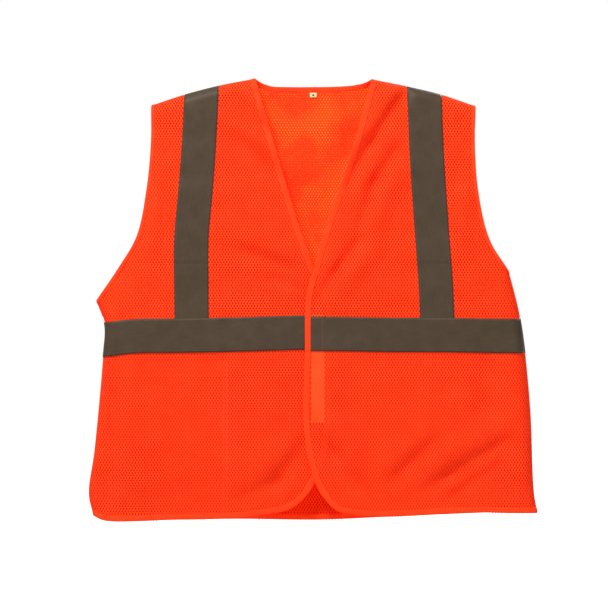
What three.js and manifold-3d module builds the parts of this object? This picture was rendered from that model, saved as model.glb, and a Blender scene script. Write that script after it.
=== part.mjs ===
// High visibility vest: a sleeveless mesh vest with a V front, bound edges, reflective tapes,
// a hook and loop closure and one inside pocket. Units are millimetres, +Z is up, the front
// faces -Y and +X is the wearer's left. The vest hangs flat, so its outline is drawn in the XZ
// plane, with heights measured from the hem, and each piece is extruded along Y.
// Origin: middle of the back neckline, where a hanger or the wearer's shoulders hold the vest.
import * as THREE from "three";
import Module from "manifold-3d";

// Driving dimensions.
const HANG_HEIGHT = 650; // from the hem level up to the origin
const FABRIC = 2; // thickness that stands for the mesh fabric and its folds
const BINDING = 3.2; // folded binding, thicker than the fabric it wraps
const TAPE = 0.6; // thickness of the reflective tape
const CLOSURE = 1; // thickness of the hook strip and of the loop strip
const GAP = 0.3; // clearance between neighbouring pieces
const LAYER_MID = 17.6; // distance of the front and back fabric from the middle plane
const FOLD_AXIS_Y = -20.3; // the flaps fold about an axis just in front of the tapes
const FOLD_HALF_GAP = 0.4; // half of the slit along each fold line
const TUCK_ANGLE = THREE.MathUtils.degToRad(3); // the under flap leans in behind the upper one

const TAPE_WIDTH = 50.8;
const WAIST_TAPE_BOTTOM = 250.8;
const WAIST_TAPE_END = { left: 305, right: -308 }; // x at the side seams, on the fronts
const BACK_WAIST_TAPE = { from: -306, to: 302 };
const UPPER_FLAP_TAPE_END = -4; // x where the upper flap's waist tape meets its binding
const CLOSURE_WIDTH = 18;
const CLOSURE_LENGTH = 157;
const CLOSURE_LEFT = -3; // x of the closure strips' edge that is nearest the wearer's right
const CLOSURE_BOTTOM = 146;
const UNDER_FLAP_EDGE = 24; // how far the under flap reaches past the middle

const POCKET = { left: -306, right: -126.5, bottom: 12, top: 237, depth: 5.6, wall: 1 };
const LABEL = { width: 10, height: 6.8, thickness: 0.5, bottom: 630 };

// Width of the strip that each kind of edge carries, measured inwards from the outline.
const STRIP = { hem: 8, armhole: 5, side: 3, shoulder: 3, neck: 6.5, front: 8.5 };

const SECTIONS_PER_CURVE = 3; // straight stretches between two outline points of a curve
const NEARLY_STRAIGHT = 0.02; // sine of the turn below which two stretches count as one line
const WELD = 0.001; // corners that are nearer than this become one

const COLOURS = {
  mesh: { color: 0xfc4219, roughness: 0.85, metalness: 0 },
  binding: { color: 0xf23c14, roughness: 0.8, metalness: 0 },
  tape: { color: 0x53473a, roughness: 0.45, metalness: 0.1 },
  closure: { color: 0xfd491f, roughness: 0.95, metalness: 0 },
  label: { color: 0xe9dcae, roughness: 0.8, metalness: 0 },
};

// Outline points as [x, z]. Both sides run from the hem corner up to the shoulder tip.
const NECK_POINT = { left: [86, 655], right: [-86, 656] };
const FOLD_HEM = { left: [116, 8], right: [-116, 5] };
const LEFT = {
  hem: [[116, 8], [192, 11.7], [248, 13.2], [332, 12]],
  side: [[332, 12], [326.8, 43], [320.6, 176], [306.4, 300.6], [289.3, 371]],
  armhole: [[289.3, 371], [261, 417], [244, 488], [239, 562], [240.5, 615]],
  shoulder: [[240.5, 615], [189, 632.4], [139, 644.4], NECK_POINT.left],
};
const RIGHT = {
  hem: [[-116, 5], [-162, 3], [-218, 2], [-294.7, 0], [-326, 8]],
  side: [[-326, 8], [-332.9, 40], [-324.4, 105], [-311.5, 244.5], [-309.3, 291], [-321.6, 327]],
  armhole: [[-321.6, 327], [-288.9, 375.6], [-261.8, 422.5], [-246.7, 494], [-240.5, 616]],
  shoulder: [[-240.5, 616], [-190.6, 632.4], [-140, 645.6], NECK_POINT.right],
};
const LEFT_FRONT_EDGE = [
  NECK_POINT.left, [48, 522.6], [1.5, 379], [-10.7, 332], [-12.7, 252], [-15, 153],
  [-8, 95.5], [14.4, 36.3], [45, 12.3], [84, 7.4], FOLD_HEM.left,
];
const RIGHT_FRONT_EDGE = [
  NECK_POINT.right, [-41, 502], [-3, 387], [UNDER_FLAP_EDGE, 318], [UNDER_FLAP_EDGE, 252],
  [UNDER_FLAP_EDGE, 138], [17, 95], [-1, 52], [-25, 24], [-61, 11.5], FOLD_HEM.right,
];
const BACK_HEM = [[-326, 8], [-294.7, 0], [-120, 2], [0, 0.5], [124, 5], [248, 11], [332, 12]];
const BACK_NECK = [NECK_POINT.left, [65, 647], [0, 643.4], [-62, 644.7], NECK_POINT.right];

// Centre lines of the shoulder tapes, the same on the front and on the back.
const SHOULDER_TAPE = {
  left: [[163, 632.2], [168, 532], [176, 417], [183.5, 305]],
  right: [[-165, 632.2], [-172, 494], [-180, 419], [-180.3, 305]],
};

const wasm = await Module();
wasm.setup();

// A run of outline points as a smooth curve, sampled into straight stretches of one kind.
function curved(points, kind) {
  const drawn = points.map(([x, z]) => new THREE.Vector3(x, z, 0));
  const curve = new THREE.CatmullRomCurve3(drawn, false, "centripetal");
  const samples = curve.getPoints((points.length - 1) * SECTIONS_PER_CURVE);
  return samples.slice(0, -1).map(({ x, y }) => ({ point: new THREE.Vector2(x, y), kind }));
}

// A straight stretch from one outline point; it ends where the next stretch begins.
function straight([x, z], kind) {
  return [{ point: new THREE.Vector2(x, z), kind }];
}

// The same stretches in mirrored order, for outlines that run down a side instead of up.
function reversed(points) {
  return [...points].reverse();
}

function cross(a, b) {
  return a.x * b.y - a.y * b.x;
}

// Moves every stretch of a counter-clockwise outline inwards by its own distance.
function inset(outline, distances) {
  const count = outline.length;
  const lines = outline.map(({ point, kind }, i) => {
    const along = outline[(i + 1) % count].point.clone().sub(point).normalize();
    const shift = new THREE.Vector2(-along.y, along.x).multiplyScalar(distances[kind] ?? 0);
    return { start: point.clone().add(shift), along, shift };
  });
  return lines.map((line, i) => {
    const before = lines[(i + count - 1) % count];
    const turn = cross(before.along, line.along);
    const vertex = outline[i].point.clone();
    if (Math.abs(turn) < NEARLY_STRAIGHT) {
      return vertex.addScaledVector(line.shift, 0.5).addScaledVector(before.shift, 0.5);
    }
    const beforeStart = vertex.add(before.shift);
    const reach = cross(line.start.clone().sub(beforeStart), line.along) / turn;
    return beforeStart.addScaledVector(before.along, reach);
  });
}

// Distances for a whole outline: each strip's width plus the gap, and zero along a fold.
function panelInsets() {
  const widths = Object.entries(STRIP).map(([kind, width]) => [kind, width + GAP]);
  return { ...Object.fromEntries(widths), fold: FOLD_HALF_GAP };
}

// The flat strip that runs along one kind of edge, as a closed polygon.
function stripPolygon(outline, kind) {
  const outer = inset(outline, { ...panelInsets(), [kind]: 0 });
  const inner = inset(outline, { ...panelInsets(), [kind]: STRIP[kind] });
  const count = outline.length;
  const before = (i) => outline[(i + count - 1) % count];
  const first = outline.findIndex((e, i) => e.kind === kind && before(i).kind !== kind);
  const length = outline.filter((e) => e.kind === kind).length;
  const run = Array.from({ length: length + 1 }, (_, i) => (first + i) % count);
  return [...run.map((i) => outer[i]), ...run.reverse().map((i) => inner[i])];
}

function rectangle(left, right, bottom, top) {
  const corners = [[left, bottom], [right, bottom], [right, top], [left, top]];
  return corners.map(([x, z]) => new THREE.Vector2(x, z));
}

// Extrudes a polygon of the XZ plane from yFront to yBack.
function slab(polygon, yFront, yBack) {
  const shape = new THREE.Shape(polygon.map((p) => new THREE.Vector2(p.x, p.y)));
  const geometry = new THREE.ExtrudeGeometry(shape, { depth: yBack - yFront, bevelEnabled: false });
  geometry.rotateX(Math.PI / 2); // the drawing's y becomes z, and the extrusion runs towards -Y
  return geometry.translate(0, yBack, 0);
}

function named(name, geometry, colours) {
  const mesh = new THREE.Mesh(geometry, new THREE.MeshStandardMaterial(colours));
  mesh.name = name;
  return mesh;
}

// A piece in the front layer (side = -1) or the back layer (side = 1), centred in its thickness.
function inLayer(name, polygon, side, thickness, colours) {
  const middle = side * LAYER_MID;
  return named(name, slab(polygon, middle - thickness / 2, middle + thickness / 2), colours);
}

// A tape lies on the outer face of the front or back layer.
function onOuterFace(name, polygon, side, colours) {
  const near = LAYER_MID + FABRIC / 2 + GAP;
  const faces = [side * near, side * (near + TAPE)].sort((a, b) => a - b);
  return named(name, slab(polygon, ...faces), colours);
}

const isLeft = (side) => side === "left";

// Closed counter-clockwise outlines of the panels, seen with +X to the right.
function frontSideOutline(side) {
  const edge = isLeft(side) ? LEFT : RIGHT;
  const up = [
    ...curved(edge.hem, "hem"),
    ...curved(edge.side, "side"),
    ...curved(edge.armhole, "armhole"),
    ...curved(edge.shoulder, "shoulder"),
    ...straight(NECK_POINT[side], "fold"),
  ];
  return isLeft(side) ? up : turnedRound(up);
}

function flapOutline(side) {
  const edge = isLeft(side) ? LEFT_FRONT_EDGE : RIGHT_FRONT_EDGE;
  const down = [...curved(edge, "front"), ...straight(FOLD_HEM[side], "fold")];
  return isLeft(side) ? down : turnedRound(down);
}

function backOutline() {
  const leftSide = [
    ...curved(LEFT.side, "side"),
    ...curved(LEFT.armhole, "armhole"),
    ...curved(LEFT.shoulder, "shoulder"),
  ];
  const rightSide = [
    ...curved(reversed(RIGHT.shoulder), "shoulder"),
    ...curved(reversed(RIGHT.armhole), "armhole"),
    ...curved(reversed(RIGHT.side), "side"),
  ];
  return [...curved(BACK_HEM, "hem"), ...leftSide, ...curved(BACK_NECK, "neck"), ...rightSide];
}

// The same closed outline run the other way, each stretch keeping its kind.
function turnedRound(outline) {
  const count = outline.length;
  return outline.map((_, i) => ({
    point: outline[(count - i) % count].point,
    kind: outline[(2 * count - i - 1) % count].kind,
  }));
}

// x of the fold line at a height: the line runs from the neck point down to the hem.
function foldX(side, z) {
  const [topX, topZ] = NECK_POINT[side];
  const [hemX, hemZ] = FOLD_HEM[side];
  return topX + ((hemX - topX) * (topZ - z)) / (topZ - hemZ);
}

// A flat ribbon of an even width along a centre line.
function ribbon(points, width) {
  const across = points.map(([x, z], i) => {
    const [ax, az] = points[Math.max(i - 1, 0)];
    const [bx, bz] = points[Math.min(i + 1, points.length - 1)];
    const along = new THREE.Vector2(bx - ax, bz - az).normalize();
    return { middle: new THREE.Vector2(x, z), normal: new THREE.Vector2(-along.y, along.x) };
  });
  const right = across.map(({ middle, normal }) => middle.clone().addScaledVector(normal, -width / 2));
  const left = across.map(({ middle, normal }) => middle.clone().addScaledVector(normal, width / 2));
  return [...right, ...left.reverse()];
}

function waistTape(from, to) {
  return rectangle(from, to, WAIST_TAPE_BOTTOM, WAIST_TAPE_BOTTOM + TAPE_WIDTH);
}

// A tape whose end follows the slanting fold line.
function waistTapeToFold(side, farX) {
  const top = WAIST_TAPE_BOTTOM + TAPE_WIDTH;
  const clear = Math.sign(farX - foldX(side, top)) * FOLD_HALF_GAP;
  const ends = [WAIST_TAPE_BOTTOM, top].map((z) => new THREE.Vector2(foldX(side, z) + clear, z));
  const polygon = [
    new THREE.Vector2(farX, WAIST_TAPE_BOTTOM), ends[0], ends[1], new THREE.Vector2(farX, top),
  ];
  return THREE.ShapeUtils.area(polygon) > 0 ? polygon : polygon.reverse();
}

function toSolid(geometry) {
  const bare = geometry.index ? geometry.toNonIndexed() : geometry;
  const positions = new THREE.BufferGeometry().setAttribute("position", bare.getAttribute("position"));
  const merged = mergeByPosition(positions);
  return new wasm.Manifold(new wasm.Mesh({ numProp: 3, ...merged }));
}

function mergeByPosition(geometry) {
  const position = geometry.getAttribute("position");
  const seen = new Map();
  const vertices = [];
  const triVerts = new Uint32Array(position.count);
  for (let i = 0; i < position.count; i++) {
    const point = [position.getX(i), position.getY(i), position.getZ(i)];
    const key = point.map((v) => Math.round(v / WELD)).join(",");
    if (!seen.has(key)) {
      seen.set(key, vertices.length / 3);
      vertices.push(...point);
    }
    triVerts[i] = seen.get(key);
  }
  return { vertProperties: new Float32Array(vertices), triVerts };
}

function toGeometry(solid) {
  const mesh = solid.getMesh();
  const geometry = new THREE.BufferGeometry();
  geometry.setAttribute("position", new THREE.BufferAttribute(mesh.vertProperties, 3));
  geometry.setIndex(new THREE.BufferAttribute(mesh.triVerts, 1));
  return geometry;
}

// The pocket: a flat bag wall behind the front panel, with a low rim round its two sides and
// bottom where it is sewn down. Its mouth is open at the top.
function pocket() {
  const { left, right, bottom, top, depth, wall } = POCKET;
  const front = -LAYER_MID + BINDING / 2 + GAP;
  const back = front + depth;
  const bag = toSolid(slab(rectangle(left, right, bottom, top), front, back + wall));
  const opening = rectangle(left + wall, right - wall, bottom + wall, top + wall);
  const room = toSolid(slab(opening, front - wall, back));
  return named("inner_pocket", toGeometry(bag.subtract(room)), COLOURS.mesh);
}

// The side part of a front panel, with its bindings and the seams that hold it to the back.
function frontSide(side) {
  const outline = frontSideOutline(side);
  const strip = (kind) => stripPolygon(outline, kind);
  const seam = (kind) => slab(strip(kind), -LAYER_MID - FABRIC / 2, LAYER_MID + FABRIC / 2);
  return [
    inLayer(`${side}_front_side`, inset(outline, panelInsets()), -1, FABRIC, COLOURS.mesh),
    inLayer(`${side}_hem_binding`, strip("hem"), -1, BINDING, COLOURS.binding),
    inLayer(`${side}_armhole_binding_front`, strip("armhole"), -1, BINDING, COLOURS.binding),
    named(`${side}_side_seam`, seam("side"), COLOURS.binding),
    named(`${side}_shoulder_seam`, seam("shoulder"), COLOURS.binding),
  ];
}

// A flap's fabric and the binding round its free edge.
function flap(side) {
  const outline = flapOutline(side);
  return [
    inLayer(`${side}_front_flap`, inset(outline, panelInsets()), -1, FABRIC, COLOURS.mesh),
    inLayer(`${side}_front_binding`, stripPolygon(outline, "front"), -1, BINDING, COLOURS.binding),
  ];
}

function backStrip(name, kind, from, to) {
  const outline = backOutline();
  const polygon = stripPolygon(only(outline, kind, from, to), kind);
  return inLayer(name, polygon, 1, BINDING, COLOURS.binding);
}

// Renames the stretches of a kind that lie outside an x range, so that one run of it is left.
function only(outline, kind, from, to) {
  return outline.map(({ point, kind: own }) => ({
    point,
    kind: own !== kind || (point.x >= from && point.x <= to) ? own : "otherSide",
  }));
}

const vest = new THREE.Group();
vest.position.z = -HANG_HEIGHT;

// Back.
vest.add(inLayer("back_panel", inset(backOutline(), panelInsets()), 1, FABRIC, COLOURS.mesh));
vest.add(backStrip("back_hem_binding", "hem", -Infinity, Infinity));
vest.add(backStrip("back_neck_binding", "neck", -Infinity, Infinity));
vest.add(backStrip("left_armhole_binding_back", "armhole", 0, Infinity));
vest.add(backStrip("right_armhole_binding_back", "armhole", -Infinity, 0));
const acrossBack = waistTape(BACK_WAIST_TAPE.from, BACK_WAIST_TAPE.to);
vest.add(onOuterFace("back_waist_tape", acrossBack, 1, COLOURS.tape));

// Front side panels with their seams, bindings and tapes.
for (const side of ["left", "right"]) {
  const waist = waistTapeToFold(side, WAIST_TAPE_END[side]);
  const shoulder = ribbon(SHOULDER_TAPE[side], TAPE_WIDTH);
  vest.add(...frontSide(side));
  vest.add(onOuterFace(`${side}_waist_tape`, waist, -1, COLOURS.tape));
  vest.add(onOuterFace(`${side}_shoulder_tape_front`, shoulder, -1, COLOURS.tape));
  vest.add(onOuterFace(`${side}_shoulder_tape_back`, shoulder, 1, COLOURS.tape));
}
vest.add(pocket());

// Size label on the inner face of the back panel, just under the neck binding.
const labelBack = LAYER_MID - BINDING / 2 - GAP;
const labelSide = LABEL.width / 2;
const labelOutline = rectangle(-labelSide, labelSide, LABEL.bottom, LABEL.bottom + LABEL.height);
const labelSlab = slab(labelOutline, labelBack - LABEL.thickness, labelBack);
vest.add(named("size_label", labelSlab, COLOURS.label));

// Upper flap: the wearer's left front edge, which laps over the other one.
const flapBack = -LAYER_MID + FABRIC / 2 + GAP;
const closure = rectangle(
  CLOSURE_LEFT, CLOSURE_LEFT + CLOSURE_WIDTH, CLOSURE_BOTTOM, CLOSURE_BOTTOM + CLOSURE_LENGTH,
);
const upperFlap = new THREE.Group();
upperFlap.add(
  ...flap("left"),
  onOuterFace("left_flap_waist_tape", waistTapeToFold("left", UPPER_FLAP_TAPE_END), -1, COLOURS.tape),
  named("hook_strip", slab(closure, flapBack, flapBack + CLOSURE), COLOURS.closure),
);
vest.add(upperFlap);

// Under flap: the wearer's right front edge. It is turned inwards about its fold line, so that
// its free edge lies behind the upper flap with the two closure strips face to face.
const loopFront = -LAYER_MID - FABRIC / 2 - GAP - CLOSURE;
const hemPoint = new THREE.Vector3(FOLD_HEM.right[0], FOLD_AXIS_Y, FOLD_HEM.right[1]);
const neckPoint = new THREE.Vector3(NECK_POINT.right[0], FOLD_AXIS_Y, NECK_POINT.right[1]);
const foldDirection = neckPoint.clone().sub(hemPoint).normalize();
const underPieces = new THREE.Group();
underPieces.position.copy(hemPoint).negate();
underPieces.add(
  ...flap("right"),
  onOuterFace("right_flap_waist_tape", waistTapeToFold("right", CLOSURE_LEFT - GAP), -1, COLOURS.tape),
  named("loop_strip", slab(closure, loopFront, loopFront + CLOSURE), COLOURS.closure),
);
const underFlap = new THREE.Group();
underFlap.position.copy(hemPoint);
underFlap.quaternion.setFromAxisAngle(foldDirection, TUCK_ANGLE);
underFlap.add(underPieces);
vest.add(underFlap);

export default vest;
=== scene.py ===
import math

import bmesh
import bpy
import numpy as np
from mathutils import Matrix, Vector


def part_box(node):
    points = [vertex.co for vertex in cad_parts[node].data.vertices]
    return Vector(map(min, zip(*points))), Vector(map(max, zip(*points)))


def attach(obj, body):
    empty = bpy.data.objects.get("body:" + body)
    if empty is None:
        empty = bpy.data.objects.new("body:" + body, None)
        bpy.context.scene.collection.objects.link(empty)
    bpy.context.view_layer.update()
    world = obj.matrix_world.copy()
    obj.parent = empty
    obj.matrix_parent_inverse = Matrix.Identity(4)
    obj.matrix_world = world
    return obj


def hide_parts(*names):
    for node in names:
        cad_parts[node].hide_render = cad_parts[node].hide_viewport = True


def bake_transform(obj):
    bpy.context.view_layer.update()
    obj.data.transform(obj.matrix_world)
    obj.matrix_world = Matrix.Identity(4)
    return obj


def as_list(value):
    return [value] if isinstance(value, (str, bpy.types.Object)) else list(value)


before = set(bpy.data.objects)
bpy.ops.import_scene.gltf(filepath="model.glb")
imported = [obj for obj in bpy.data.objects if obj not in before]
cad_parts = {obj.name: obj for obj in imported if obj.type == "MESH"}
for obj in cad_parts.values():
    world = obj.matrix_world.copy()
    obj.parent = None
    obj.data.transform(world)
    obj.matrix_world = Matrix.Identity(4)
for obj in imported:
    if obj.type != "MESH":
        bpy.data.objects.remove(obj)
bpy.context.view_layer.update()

# Lengths are in millimetres until a mesh is written, when they become metres.
MM = 0.001
HANG_HEIGHT = 650.0  # the row frame's origin above the hem level
LAYER = 17.6  # the front and back fabric lie this far from the middle plane
ROUND = 16.0  # radius over which the fabric turns from the front to the back at a seam
TURN = ROUND * (math.pi / 2 - 1)  # extra fabric that the turn takes, beyond the outline
TUCK = math.tan(math.radians(3.0))  # slope of the under flap behind the upper one

LEFT, RIGHT, BACK = "front_left", "front_right", "back"
SIGN = {LEFT: 1.0, RIGHT: -1.0}
OUTWARD = {LEFT: -1.0, RIGHT: -1.0, BACK: 1.0}

# Outline points as (x, z) above the hem level. +x is the wearer's left.
NECK = {LEFT: (86, 655), RIGHT: (-86, 656)}
FOLD_HEM = {LEFT: (116, 8), RIGHT: (-116, 5)}
SIDE = {
    LEFT: [(332, 12), (326.8, 43), (320.6, 176), (306.4, 300.6), (289.3, 371)],
    RIGHT: [(-326, 8), (-332.9, 40), (-324.4, 105), (-311.5, 244.5), (-309.3, 291), (-321.6, 327)],
}
ARMHOLE = {
    LEFT: [(289.3, 371), (261, 417), (244, 488), (239, 562), (240.5, 615)],
    RIGHT: [(-321.6, 327), (-288.9, 375.6), (-261.8, 422.5), (-246.7, 494), (-240.5, 562), (-240.5, 616)],
}
SHOULDER = {
    LEFT: [(240.5, 615), (189, 632.4), (139, 644.4), (86, 655)],
    RIGHT: [(-240.5, 616), (-190.6, 632.4), (-140, 645.6), (-86, 656)],
}
FRONT_EDGE = {
    LEFT: [(86, 655), (63, 570), (48, 522.6), (27, 462.5), (1.5, 379), (-10.7, 332), (-12.7, 252),
           (-15, 153), (-8, 95.5), (3.7, 54.6), (14.4, 36.3), (30, 19), (45, 12.3), (64, 9.6), (84, 7.4)],
    RIGHT: [(-86, 656), (-75, 617), (-60, 566), (-41, 502), (-22, 440), (-3, 387), (24, 318), (24, 252),
            (24, 138), (17, 95), (-1, 52), (-12, 36), (-25, 24), (-37, 17), (-61, 11.5), (-94, 7)],
}
HEM = {
    LEFT: [(84, 7.4), (124, 7.4), (192, 11.7), (248, 13.2), (291, 12.2), (332, 12)],
    RIGHT: [(-94, 7), (-119, 4.6), (-162, 3), (-218, 2), (-294.7, 0), (-312, 2), (-326, 8)],
}
BACK_HEM = [(-326, 8), (-312, 2), (-294.7, 0), (-120, 2), (0, 0.5), (124, 5), (248, 11), (332, 12)]
BACK_NECK = [(86, 655), (76, 651), (62, 648), (30, 645.8), (0, 645.4), (-40, 645.6), (-62, 646.4),
             (-76, 650.6), (-86, 656)]

WAIST = {
    LEFT: [(-4.3, 277.9), (40, 277.6), (110, 276.4), (200, 276), (260, 275), (307, 274.5)],
    RIGHT: [(18, 280.4), (-15, 279.8), (-100, 277.2), (-197, 275.2), (-262, 274.4), (-290, 271.6),
            (-310, 268.8)],
    BACK: [(307, 275), (200, 276.2), (100, 276.6), (0, 276), (-150, 276.4), (-260, 275), (-310, 269.5)],
}
SHOULDER_TAPE = {
    LEFT: [(164, 640), (168.3, 532), (176.2, 417), (181, 350), (183.6, 290)],
    RIGHT: [(-165.4, 640.4), (-169.5, 560), (-174.3, 494), (-180.6, 419), (-180.8, 350), (-180.2, 290)],
}
TAPE_WIDTH = 50.8

# Mesh fabric: holes in staggered rows.
PITCH = 4.35  # between holes in a row
ROW = 3.8  # between rows
FRONT_HOLE, BACK_HOLE = 1.0, 0.18  # half of a hole's width
WEB_SHADE = 1.8  # how much wider than a hole's rim the painted shade on the sheet that closes a hole is
DIM_REACH = 14.0  # the painted light in covered holes fades out over this distance from a cover's edge
DIMPLE = 0.35  # a hole's rim lies this far behind the yarns

# Soft folds: centre line from (x, z) to (x, z), height outwards and half width.
FOLDS = {
    RIGHT: [
        ((-112, 628), (-70, 582), -2.6, 9), ((-120, 640), (-84, 605), 1.8, 12),
        ((-106, 560), (-62, 521), -2.4, 10), ((-120, 585), (-60, 548), 1.6, 14),
        ((-98, 398), (-36, 377), -2.2, 9), ((-100, 420), (-40, 396), 1.6, 13),
        ((-57, 359), (-14, 343), -1.8, 7), ((-225, 470), (-200, 380), 1.6, 16),
        ((-14, 112), (-54, 58), -2.0, 10), ((-54, 58), (-98, 37), -1.8, 10),
        ((-30, 120), (-84, 74), 1.8, 15),
        ((-292, 240), (-304, 40), -1.6, 10), ((-272, 240), (-262, 30), 1.8, 18),
        ((-230, 200), (-205, 40), -1.2, 20), ((-238, 560), (-232, 440), 1.4, 9),
    ],
    LEFT: [
        ((134, 632), (85, 562), -3.2, 8), ((85, 562), (52, 500), -3.0, 8), ((120, 640), (66, 560), 2.0, 12),
        ((121, 546), (92, 502), -2.8, 8), ((92, 502), (73, 446), -2.4, 8), ((126, 520), (96, 456), 2.0, 13),
        ((66, 411), (35, 371), -2.8, 8), ((35, 371), (6, 330), -2.2, 7), ((84, 400), (40, 344), 2.2, 14),
        ((219, 590), (234, 560), -1.8, 6), ((225, 480), (214, 400), 1.6, 12),
        ((176, 114), (130, 72), -2.2, 9), ((150, 124), (108, 80), 1.6, 14),
        ((279, 114), (200, 67), -2.4, 9), ((200, 67), (172, 50), -1.8, 9), ((262, 134), (180, 84), 1.8, 15),
        ((270, 80), (208, 39), -2.0, 8), ((0, 142), (28, 102), -2.2, 8), ((28, 102), (66, 52), -1.8, 9),
        ((30, 132), (62, 84), 1.8, 14), ((292, 230), (304, 60), 1.6, 16),
        ((262, 236), (250, 150), -1.4, 16),
    ],
    BACK: [
        ((-200, 600), (-150, 470), 2.4, 22), ((190, 590), (140, 450), 2.2, 22),
        ((-30, 620), (10, 430), 1.8, 24), ((-90, 240), (-120, 40), -2.4, 26),
        ((60, 240), (84, 30), 2.4, 24), ((210, 240), (236, 30), -2.2, 20),
        ((-240, 236), (-262, 40), 2.4, 22), ((-40, 400), (70, 360), -1.6, 18),
        ((150, 420), (240, 340), 1.8, 18), ((-150, 420), (-250, 336), 1.8, 18),
        ((30, 590), (-46, 520), -1.6, 14), ((60, 560), (10, 470), 1.6, 12),
    ],
}
FOLD_SCALE = 2.3  # all folds together are raised by this much
CREASE_HEIGHT = 386.0  # fold crease left by packing, across both fronts


# ---------------------------------------------------------------- curves and the cloth's surface
def smooth(points, step=2.5):
    """A centripetal Catmull-Rom curve through the points, resampled at even steps."""
    p = np.array(points, float)
    p = np.vstack([2 * p[0] - p[1], p, 2 * p[-1] - p[-2]])
    out = []
    for a, b, c, d in zip(p[:-3], p[1:-2], p[2:-1], p[3:]):
        t1 = math.dist(a, b) ** 0.5
        t2 = t1 + math.dist(b, c) ** 0.5
        t3 = t2 + math.dist(c, d) ** 0.5
        t = np.linspace(t1, t2, 24, endpoint=False)[:, None]
        ab = (t1 - t) / t1 * a + t / t1 * b
        bc = (t2 - t) / (t2 - t1) * b + (t - t1) / (t2 - t1) * c
        cd = (t3 - t) / (t3 - t2) * c + (t - t2) / (t3 - t2) * d
        abc = (t2 - t) / t2 * ab + t / t2 * bc
        bcd = (t3 - t) / (t3 - t1) * bc + (t - t1) / (t3 - t1) * cd
        out.append((t2 - t) / (t2 - t1) * abc + (t - t1) / (t2 - t1) * bcd)
    return resample(np.vstack(out + [p[-2:-1]]), step)


def resample(path, step):
    length = np.concatenate([[0], np.cumsum(np.linalg.norm(np.diff(path, axis=0), axis=1))])
    at = np.linspace(0, length[-1], max(2, int(round(length[-1] / step)) + 1))
    return np.column_stack([np.interp(at, length, path[:, k]) for k in range(path.shape[1])])


SIDE_LINE = {k: smooth(v) for k, v in SIDE.items()}
SHOULDER_LINE = {k: smooth(v) for k, v in SHOULDER.items()}


def side_reach(layer, z):
    """Distance of the side seam's line from x = 0. It goes straight up beyond the armpit."""
    line = SIDE_LINE[layer]
    return np.interp(z, line[:, 1], np.abs(line[:, 0]))


def shoulder_height(layer, reach):
    line = SHOULDER_LINE[layer][::-1]
    inner, outer = abs(line[0, 0]), abs(line[-1, 0])
    height = np.interp(reach, np.abs(line[:, 0]), line[:, 1])
    return height + 0.2 * np.maximum(inner - reach, 0) - 0.4 * np.maximum(reach - outer, 0)


def halves(layer, x):
    """The front layer whose outline a point follows: the back has one on each side of x = 0."""
    if layer != BACK:
        return [(layer, np.ones(len(x), bool))]
    return [(LEFT, x >= 0), (RIGHT, x < 0)]


def unroll(distance):
    """Distance from a seam's outline, measured along the fabric that turns round it."""
    distance = np.maximum(distance, 0)
    angle = np.arccos(np.clip(1 - distance / ROUND, -1, 1))
    return np.where(distance < ROUND, ROUND * angle, distance + TURN)


def pattern(layer, points):
    """Points of the outline, (x, z), as points on the flat cut of the panel."""
    points = np.array(points, float).reshape(-1, 2)
    out = points.copy()
    for half, mine in halves(layer, points[:, 0]):
        sign = SIGN[half]
        reach = points[mine, 0] * sign
        side = side_reach(half, points[mine, 1])
        top = shoulder_height(half, reach)
        out[mine, 0] = sign * (side + TURN - unroll(side - reach))
        out[mine, 1] = top + TURN - unroll(top - points[mine, 1])
    return out


def bump(x, z, start, end, height, width):
    """A soft fold: a ridge or a valley along a line, fading out at both ends."""
    a = np.array(start, float)
    d = np.array(end, float) - a
    length = np.linalg.norm(d)
    along = ((x - a[0]) * d[0] + (z - a[1]) * d[1]) / length
    across = ((x - a[0]) * d[1] - (z - a[1]) * d[0]) / length
    outside = np.maximum(np.maximum(-along, along - length), 0)
    return height * np.exp(-((across / (1.25 * width)) ** 2) - (outside / (2.0 * width)) ** 2)


def ripples(layer, x, z):
    """Small uneven waves that any hanging cloth has, from fixed sines."""
    shift = {LEFT: 0.7, RIGHT: 2.9, BACK: 4.6}[layer]
    wide = np.sin(x / 41 + z / 67 + shift) * np.sin(z / 53 - x / 90 + 2 * shift)
    middle = np.sin(x / 17.3 - z / 23.1 + 3 * shift) * np.sin(z / 15.7 + x / 29 + shift)
    fine = np.sin(x / 7.9 + z / 11.3 + shift) * np.sin(z / 9.1 - x / 12.7)
    return 1.7 * wide + 0.8 * middle + 0.16 * fine


def height_field(layer, x, z):
    h = ripples(layer, x, z)
    for start, end, height, width in FOLDS[layer]:
        h = h + FOLD_SCALE * bump(x, z, start, end, height, width)
    if layer == BACK:
        return h
    crease = 0.5 * np.exp(-(((z - CREASE_HEIGHT) / 1.6) ** 2)) - 0.4 * np.exp(
        -(((z - CREASE_HEIGHT + 4) / 2.2) ** 2)
    )
    h = h + crease * np.clip((np.abs(x) - 120) / 20, 0, 1)
    lapped = np.clip((x * SIGN[layer] + 30) / 70, 0.12, 1)  # calm where one flap lies on the other
    return h * lapped


def fold_x(layer, z):
    (top_x, top_z), (hem_x, hem_z) = NECK[layer], FOLD_HEM[layer]
    return top_x + (hem_x - top_x) * (top_z - z) / (top_z - hem_z)


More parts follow.
